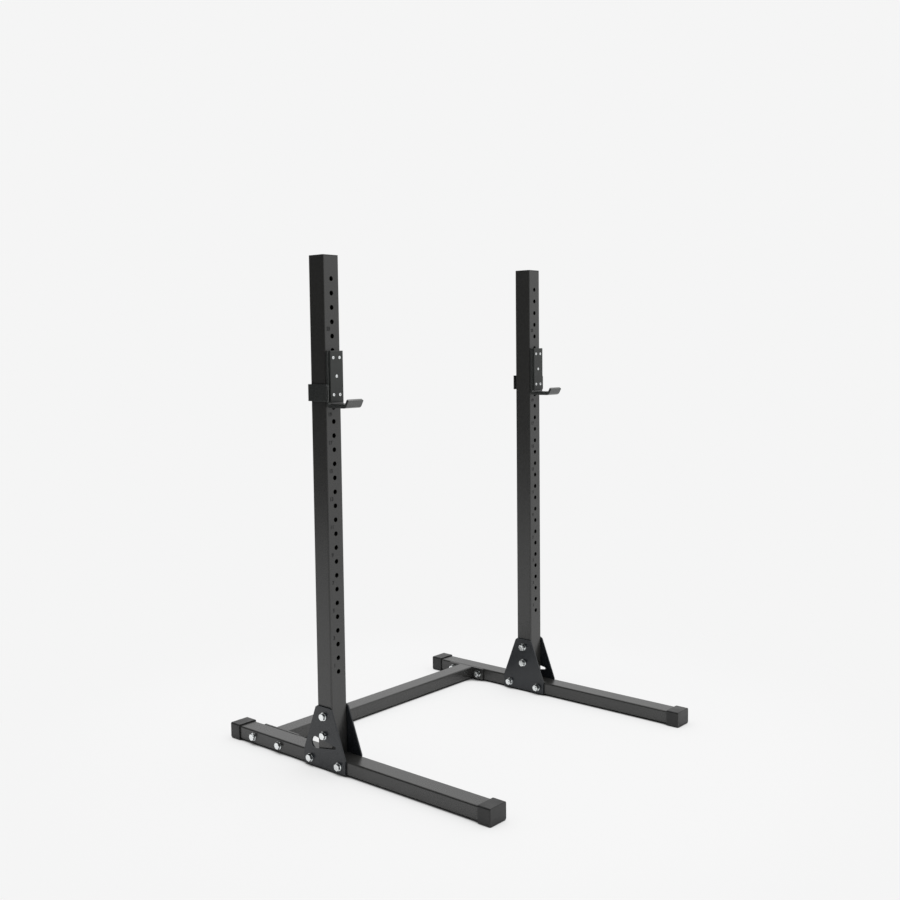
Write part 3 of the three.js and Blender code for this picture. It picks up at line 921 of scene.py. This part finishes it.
class STAND_OT_bolts(bpy.types.Operator):
    """Build the large bolts, nuts and washers"""

    bl_idname = "stand.bolts"
    bl_label = "Bolts and nuts"

    def execute(self, context):
        sizes = context.scene.stand_fasteners
        spin = 0
        # The bolts come in two lengths, each modelled once and copied.
        for names in (UPRIGHT_BOLTS + FOOT_BOLTS, FLANGE_BOLTS):
            bolt = self.bolt(f"right_{names[0]}_bolt", f"right_{names[0]}_nut", sizes)
            nut = self.nut(f"right_{names[0]}_nut", sizes)
            for side in SIDES:
                for name in names:
                    for master, kind in ((bolt, "bolt"), (nut, "nut")):
                        spin += 1
                        self.copy(master, side, name, kind, spin * sizes.turn_step)
            remove_masters(bolt, nut)
        return {"FINISHED"}

    def copy(self, master, side, name, kind, angle):
        """Each one is tightened to a turn of its own."""
        turn = Matrix.Rotation(angle, 4, "X")
        if SIDES[side] < 0:
            turn = Matrix.Rotation(math.pi, 4, "Z") @ turn
        node = f"{side}_{name}_{kind}"
        piece = copy_of(master, f"{side}_{name}_hex_{kind}", (0, *axis_of(node)), turn)
        shade(piece)
        hand_over(piece, BODY, "zinc", node)

    def washer(self, seat, toward, sizes):
        """A washer on a seat, on the side that toward points to."""
        end = seat + toward * sizes.washer_thick
        piece = rod("washer", (seat, 0, 0), (end, 0, 0), sizes.washer, sides=64)
        soften(piece, sizes.washer_edge)
        return piece

    def bolt(self, node, nut_node, sizes):
        low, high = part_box(node)
        face = high.x
        seat = face - sizes.head - sizes.washer_thick
        head = hexagon("head", (face - sizes.head, 0, 0), (face, 0, 0), sizes)
        soften(head, sizes.head_edge)
        nut_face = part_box(nut_node)[0].x
        thread_from = nut_face + sizes.pitch
        shank = threaded_rod("shank", face - sizes.head / 2, low.x, thread_from, sizes)
        return join([head, self.washer(seat, 1, sizes), shank])

    def nut(self, node, sizes):
        low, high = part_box(node)
        face, seat = low.x, high.x
        under = seat - sizes.washer_thick
        piece = hexagon("nut", (under, 0, 0), (face, 0, 0), sizes, both_ends=True)
        washer = self.washer(seat, -1, sizes)
        for part, start, end in ((piece, under, face), (washer, seat, under)):
            ends = (start + REACH, 0, 0), (end - REACH, 0, 0)
            bore = rod("bore", *ends, sizes.shank + sizes.nut_gap, sides=40)
            combine(part, [bore], "DIFFERENCE")
        soften(piece, sizes.nut_edge)
        return join([piece, washer])


# Hooks

class STAND_OT_hooks(bpy.types.Operator):
    """Build the bar hooks: plate, yoke, peg, liners and screws"""

    bl_idname = "stand.hooks"
    bl_label = "Hooks"

    def execute(self, context):
        sizes = context.scene.stand_hooks
        fasteners = context.scene.stand_fasteners
        for side, out in SIDES.items():
            self.plate(side, out, sizes, fasteners)
            self.yoke(side, out, sizes)
            self.peg(side, sizes)
            self.pads(side, sizes, fasteners)
            self.screws(side, fasteners)
        return {"FINISHED"}

    def spots(self, side, sizes):
        """The hook's middle across, the plate's rear face and the height of the peg."""
        middle = sum(corner.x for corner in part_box(f"{side}_upright")) / 2
        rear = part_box(f"{side}_hook_back_liner")[1].y + sizes.thick
        return middle, rear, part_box(f"{side}_hook_plate")[1].z - sizes.above

    def strip(self, side, sizes):
        """The bent strip: back, heel, arm, toe and lip, drawn out and bent from the foot of the back."""
        low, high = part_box(f"{side}_hook_plate")
        middle, rear, _ = self.spots(side, sizes)
        half = sizes.width / 2
        pivot_z = low.z + sizes.bend
        back = (middle - half, rear - sizes.thick, pivot_z)
        piece = block(f"{side}_hook_strip", back, (middle + half, rear, high.z))
        heel = Vector((middle, rear - sizes.bend, pivot_z))
        tangent = sizes.bend * math.tan(sizes.lip_angle / 2)
        toe = Vector((middle, rear - sizes.toe + tangent, pivot_z))
        pick(piece, "FACE", facing(-Z_AXIS))
        bend(heel, -X_AXIS, math.radians(90), steps=8)
        push(-Y_AXIS, heel.y - toe.y)
        bend(toe, -X_AXIS, sizes.lip_angle, steps=6)
        rise = Vector((0, -math.cos(sizes.lip_angle), math.sin(sizes.lip_angle)))
        push(rise, sizes.lip - tangent)
        leave_edit()

        def in_free_half(edge):
            return (edge.verts[0].co - toe).dot(rise) > (sizes.lip - tangent) / 2

        round_edges(piece, both(running(rise.cross(X_AXIS)), in_free_half), sizes.lip_corner)
        return piece

    def plate(self, side, out, sizes, fasteners):
        """The strip with its ear on the yoke's side and its holes for the screws and the peg."""
        node = f"{side}_hook_plate"
        piece = self.strip(side, sizes)
        low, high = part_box(node)
        middle, rear, peg_z = self.spots(side, sizes)
        half = sizes.ear / 2
        edges = sorted((middle, low.x if out < 0 else high.x))
        ear = block("ear", (edges[0], rear - sizes.thick, peg_z - half), (edges[1], rear, peg_z + half))
        combine(piece, [ear], "UNION")
        bores = [(*self.screw_place(side, number), fasteners.screw_shank, 24) for number in SCREWS]
        bores.append((middle, peg_z, sizes.peg, 40))
        drills = []
        for x, z, width, sides in bores:
            ends = (x, rear + sizes.thick, z), (x, rear - 2 * sizes.thick, z)
            drills.append(rod("drill", *ends, width + 2 * sizes.fit, sides=sides))
        combine(piece, drills, "DIFFERENCE")
        soften(piece, sizes.edge)
        hand_over(piece, f"{side}_hook", "hook_paint", node)

    def screw_place(self, side, number):
        """The X and Z of a liner screw."""
        low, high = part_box(f"{side}_hook_screw_{number}")
        return (low.x + high.x) / 2, (low.z + high.z) / 2

    def yoke(self, side, out, sizes):
        """The strap: a straight stretch along the upright, bent round behind it, with its welds."""
        node = f"{side}_hook_yoke"
        low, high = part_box(node)
        outer = low.x if out < 0 else high.x
        free = high.x if out < 0 else low.x
        inner = outer - out * sizes.yoke
        bend_y = high.y - sizes.yoke_bend
        xs = sorted((inner, outer))
        piece = block(f"{side}_hook_strap", (xs[0], low.y, low.z), (xs[1], bend_y, high.z))
        pivot = Vector((outer - out * sizes.yoke_bend, bend_y, 0))
        pick(piece, "FACE", facing(Y_AXIS))
        bend(pivot, Z_AXIS * out, math.radians(90), steps=6)
        push(-X_AXIS * out, abs(pivot.x - free))
        leave_edit()
        soften(piece, sizes.edge)
        _, rear, peg_z = self.spots(side, sizes)
        front = rear - sizes.thick
        x = inner - out * sizes.weld / 3  # just off the strap, so that most of a bead shows
        top, foot = peg_z + sizes.ear / 2, peg_z - sizes.ear / 2
        lines = (
            [(x, front, foot), (x, front, top)],
            [(x, front, top), (x, rear - sizes.weld, top)],
            [(x, front, foot), (x, rear - sizes.weld, foot)],
        )
        piece = join([piece, *(weld_bead(line, sizes) for line in lines)])
        hand_over(piece, f"{side}_hook", "hook_paint", node)

    def peg(self, side, sizes):
        """The peg, welded through the plate and rounded where it enters the upright."""
        middle, rear, peg_z = self.spots(side, sizes)
        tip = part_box(f"{side}_hook_plate")[1].y
        start = (middle, rear - sizes.thick, peg_z)
        piece = rod(f"{side}_hook_pin", start, (middle, tip, peg_z), sizes.peg)
        round_edges(piece, lying("y", tip), sizes.peg_tip)
        shade(piece)
        hand_over(piece, f"{side}_hook", "zinc")

    def pads(self, side, sizes, fasteners):
        """The plastic plates behind the hook plate, in front of it and on its arm."""
        middle, _, peg_z = self.spots(side, sizes)
        low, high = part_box(f"{side}_hook_rear_pad")
        ends = (middle, low.y - REACH, peg_z), (middle, high.y + REACH, peg_z)
        bore = rod("drill", *ends, sizes.peg + 2 * sizes.fit, sides=40)
        self.pad(side, "rear_pad", "back_seat", sizes, drills=[bore])
        low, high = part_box(f"{side}_hook_back_liner")
        drills = []
        for number in SCREWS:
            x, z = self.screw_place(side, number)
            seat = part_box(f"{side}_hook_screw_{number}")[0].y + fasteners.screw_head_height
            front = (x, low.y - REACH, z)
            tool = rod("drill", front, (x, seat, z), fasteners.screw_head + 2 * sizes.fit, sides=40)
            shank_bore = fasteners.screw_shank + 2 * sizes.fit
            combine(tool, [rod("drill", front, (x, high.y + REACH, z), shank_bore, sides=24)], "UNION")
            drills.append(tool)
        self.pad(side, "back_liner", "back_pad", sizes, lying("y", low.y), drills)
        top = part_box(f"{side}_hook_arm_liner")[1].z
        self.pad(side, "arm_liner", "arm_pad", sizes, lying("z", top))

    def pad(self, side, kind, name, sizes, chamfered=None, drills=None):
        """One plastic plate with its chamfered edges and its holes."""
        node = f"{side}_hook_{kind}"
        piece = block(f"{side}_hook_{name}", *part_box(node))
        if chamfered:
            round_edges(piece, chamfered, sizes.liner_edge, segments=1)
        if drills:
            combine(piece, drills, "DIFFERENCE")
        soften(piece, sizes.liner_soft)
        hand_over(piece, f"{side}_hook", "liner_plastic", node)

    def screws(self, side, sizes):
        """Low round heads with a hexagon socket, modelled once and copied."""
        low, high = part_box(f"{side}_hook_screw_1")
        head = rod("head", (0, sizes.screw_head_height, 0), (0, 0, 0), sizes.screw_head)
        round_edges(head, lying("y", 0), sizes.screw_round)
        ends = (0, -REACH, 0), (0, sizes.socket_depth, 0)
        socket = rod("socket", *ends, sizes.socket * ACROSS_CORNERS, sides=6)
        combine(head, [socket], "DIFFERENCE")
        soften(head, sizes.screw_edge)
        ends = (0, sizes.screw_head_height / 2, 0), (0, high.y - low.y, 0)
        master = join([head, rod("shank", *ends, sizes.screw_shank, sides=24)])
        for number in SCREWS:
            node = f"{side}_hook_screw_{number}"
            x, z = self.screw_place(side, number)
            turn = Matrix.Rotation(sizes.screw_turn * number, 4, "Y")
            place = (x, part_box(node)[0].y, z)
            piece = copy_of(master, f"{side}_liner_screw_{number}", place, turn)
            shade(piece)
            hand_over(piece, f"{side}_hook", "zinc", node)
        remove_masters(master)


# Studio

class STAND_OT_stage(bpy.types.Operator):
    """Build the floor, the room's light, the softbox and the camera"""

    bl_idname = "stand.stage"
    bl_label = "Studio"

    def execute(self, context):
        settings = context.scene.stand_studio
        self.camera(context, settings)
        self.floor(settings)
        self.room(context, settings)
        self.softbox(settings)
        context.scene.view_settings.view_transform = "Standard"
        return {"FINISHED"}

    def camera(self, context, settings):
        """The photograph's camera, solved from the stand's own corners."""
        select_only()
        bpy.ops.object.camera_add()
        camera = bpy.context.object
        camera.name = "camera"
        yaw = Matrix.Rotation(-settings.camera_yaw, 4, "Z")
        pitch = Matrix.Rotation(math.radians(90) - settings.camera_pitch, 4, "X")
        roll = Matrix.Rotation(settings.camera_roll, 4, "Z")
        camera.matrix_world = Matrix.Translation(settings.camera_place) @ yaw @ pitch @ roll
        camera.data.lens = settings.camera_lens
        camera.data.shift_x, camera.data.shift_y = settings.camera_shift
        context.scene.camera = camera

    def floor(self, settings):
        """A white floor. The camera sees part of its real light and shadows, a painted contact shadow, and
        the backdrop's own white, which is all that is left far out. The painted contact shadow dims the
        floor's white glow where an ambient occlusion node finds the stand close by."""
        select_only()
        bpy.ops.mesh.primitive_circle_add(vertices=96, radius=settings.floor_radius, fill_type="NGON")
        floor = bpy.context.object
        floor.name = "floor"
        finish = bpy.data.materials.new("studio_floor")
        finish.use_nodes = True
        tree = finish.node_tree
        tree.nodes.remove(tree.nodes["Principled BSDF"])
        place = add_node(tree, "ShaderNodeTexCoord").outputs["Object"]
        reach = add_node(tree, "ShaderNodeVectorMath", {"operation": "LENGTH"}, {"Vector": place})
        kept = add_node(
            tree, "ShaderNodeMapRange",
            {"interpolation_type": "SMOOTHSTEP", "From Min": settings.floor_near,
             "From Max": settings.floor_far, "To Min": 1 - settings.shadow, "To Max": 1.0},
            {"Value": reach.outputs["Value"]},
        )
        seen = add_node(tree, "ShaderNodeLightPath").outputs["Is Camera Ray"]
        amount = add_node(
            tree, "ShaderNodeMath", {"operation": "MULTIPLY"}, {0: kept.outputs["Result"], 1: seen}
        )
        # Painted shadow: an ambient occlusion reading dims the white glow under and beside the stand,
        # drawing the contact shadow.
        occlusion_for_painted_shadow = add_node(
            tree, "ShaderNodeAmbientOcclusion", {"Distance": settings.contact, "samples": 16}
        )
        contact = add_node(
            tree, "ShaderNodeMapRange", {"From Min": 0.3, "From Max": 0.58, "To Min": 0.0, "To Max": 1.0},
            {"Value": occlusion_for_painted_shadow.outputs["AO"]},
        )
        lit = add_node(tree, "ShaderNodeBsdfDiffuse", {"Color": settings.backdrop})
        # The floor's white glow, darkened by the painted contact shadow.
        plain = add_node(
            tree, "ShaderNodeEmission", {"Color": settings.backdrop}, {"Strength": contact.outputs["Result"]}
        )
        sources = {"Fac": amount.outputs["Value"], 1: lit.outputs["BSDF"], 2: plain.outputs["Emission"]}
        mixed = add_node(tree, "ShaderNodeMixShader", links=sources)
        set_up(tree, tree.nodes["Material Output"], links={"Surface": mixed.outputs["Shader"]})
        floor.data.materials.append(finish)

    def room(self, context, settings):
        """A room with light from all round, more from the right and from above. The camera sees a white
        backdrop, and gloss and metal see it on the right."""
        world = bpy.data.worlds.new("studio")
        context.scene.world = world
        world.use_nodes = True
        tree = world.node_tree
        light = tree.nodes["Background"]
        light.inputs["Color"].default_value = (1, 1, 1, 1)
        heading = add_node(tree, "ShaderNodeTexCoord").outputs["Generated"]
        split = add_node(tree, "ShaderNodeSeparateXYZ", links={"Vector": heading})
        right = add_node(
            tree, "ShaderNodeMapRange",
            {"interpolation_type": "SMOOTHSTEP", "From Min": -0.65, "From Max": 0.55},
            {"Value": split.outputs["X"]},
        ).outputs["Result"]
        ceiling = add_node(
            tree, "ShaderNodeMapRange",
            {"interpolation_type": "SMOOTHSTEP", "From Min": 0.2, "From Max": 0.9,
             "To Min": settings.fill_light, "To Max": settings.fill_light + settings.top_light},
            {"Value": split.outputs["Z"]},
        ).outputs["Result"]
        dull = add_node(
            tree, "ShaderNodeMath", {"operation": "MULTIPLY_ADD", 1: settings.side_light},
            {0: right, 2: ceiling},
        )
        set_up(tree, light, links={"Strength": dull.outputs["Value"]})
        path = add_node(tree, "ShaderNodeLightPath").outputs
        gloss = path["Is Glossy Ray"]
        direct = add_node(
            tree, "ShaderNodeMath", {"operation": "MAXIMUM"},
            {0: path["Is Camera Ray"], 1: path["Is Transmission Ray"]},
        ).outputs["Value"]
        white = add_node(
            tree, "ShaderNodeMath", {"operation": "MULTIPLY_ADD", "use_clamp": True},
            {0: gloss, 1: right, 2: direct},
        )
        seen = add_node(tree, "ShaderNodeMath", {"operation": "MAXIMUM"}, {0: direct, 1: gloss})
        backdrop = add_node(
            tree, "ShaderNodeBackground", {"Color": settings.backdrop}, {"Strength": white.outputs["Value"]}
        )
        unseen, shown = light.outputs["Background"], backdrop.outputs["Background"]
        mixed = add_node(
            tree, "ShaderNodeMixShader", links={"Fac": seen.outputs["Value"], 1: unseen, 2: shown}
        )
        set_up(tree, tree.nodes["World Output"], links={"Surface": mixed.outputs["Shader"]})

    def softbox(self, settings):
        select_only()
        bpy.ops.object.light_add(type="AREA", location=(0, 0, settings.lamp_height))
        lamp = bpy.context.object
        lamp.name = "softbox"
        lamp.data.shape = "SQUARE"
        lamp.data.size = settings.lamp_width
        lamp.data.energy = settings.lamp_power


class STAND_PT_panel(bpy.types.Panel):
    """Lists the steps that build the stand"""

    bl_idname = "STAND_PT_panel"
    bl_label = "Squat stand"
    bl_space_type = "VIEW_3D"
    bl_region_type = "UI"
    bl_category = "Squat stand"

    def draw(self, context):
        for operator in OPERATORS:
            self.layout.operator(operator.bl_idname)


OPERATORS = (
    STAND_OT_uprights, STAND_OT_numbers, STAND_OT_feet, STAND_OT_gussets, STAND_OT_crossmember,
    STAND_OT_bolts, STAND_OT_hooks, STAND_OT_stage,
)


def register():
    for group in GROUPS.values():
        bpy.utils.register_class(group)
    for name, group in GROUPS.items():
        setattr(bpy.types.Scene, name, PointerProperty(type=group))
    for operator in OPERATORS:
        bpy.utils.register_class(operator)
    bpy.utils.register_class(STAND_PT_panel)


def unregister():
    bpy.utils.unregister_class(STAND_PT_panel)
    for operator in reversed(OPERATORS):
        bpy.utils.unregister_class(operator)
    for name, group in GROUPS.items():
        delattr(bpy.types.Scene, name)
        bpy.utils.unregister_class(group)


def main():
    register()
    bpy.ops.stand.uprights()
    bpy.ops.stand.numbers()
    bpy.ops.stand.feet()
    bpy.ops.stand.gussets()
    bpy.ops.stand.crossmember()
    bpy.ops.stand.bolts()
    bpy.ops.stand.hooks()
    bpy.ops.stand.stage()


if __name__ == "__main__":
    main()
